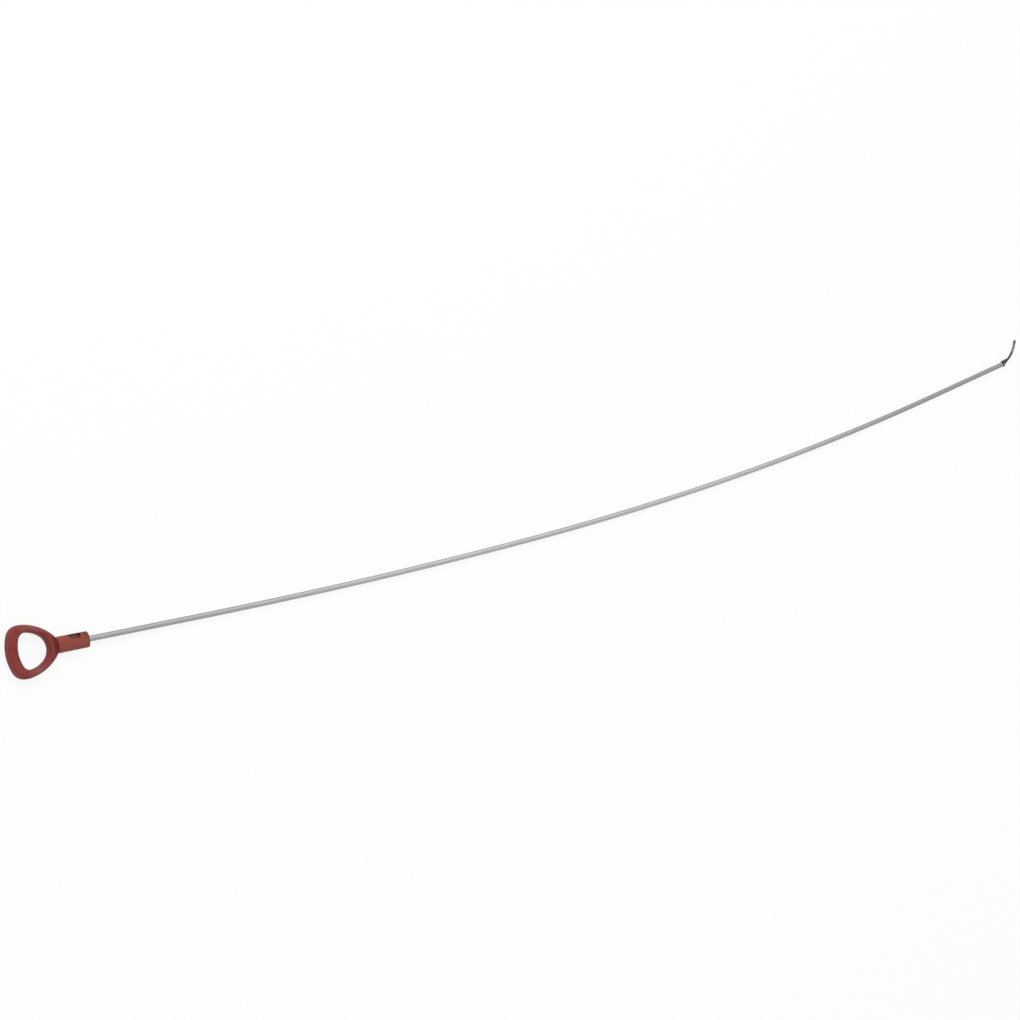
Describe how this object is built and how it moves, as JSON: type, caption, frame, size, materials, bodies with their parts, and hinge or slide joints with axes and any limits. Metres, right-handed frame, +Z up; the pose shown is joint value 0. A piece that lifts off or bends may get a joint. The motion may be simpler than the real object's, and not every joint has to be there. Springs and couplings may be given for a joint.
{
  "type": "transmission dipstick",
  "caption": "Long flexible transmission dipstick: a red moulded finger loop with a neck, a slim wound-wire stick and a thin dark measuring tongue on a collar at the tip.",
  "frame": {"origin": "on the handle's flat lower face, in the middle of the finger loop's rear bar", "axes": "+X along the neck towards the measuring tongue, +Y to the left of it, +Z up from the floor that it lies on"},
  "size_m": [1.2076, 0.1378, 0.01],
  "materials": {
    "red_plastic": "dull maroon moulded plastic, slightly uneven",
    "wound_steel": "satin grey close-wound wire",
    "core_steel": "plain drawn wire",
    "dark_plastic": "dark grey, fine satin"
  },
  "bodies": {
    "root": {"handle": "red_plastic", "sheath": "wound_steel", "core_wire": "core_steel", "measuring_tip": "dark_plastic"}
  },
  "joints": []
}
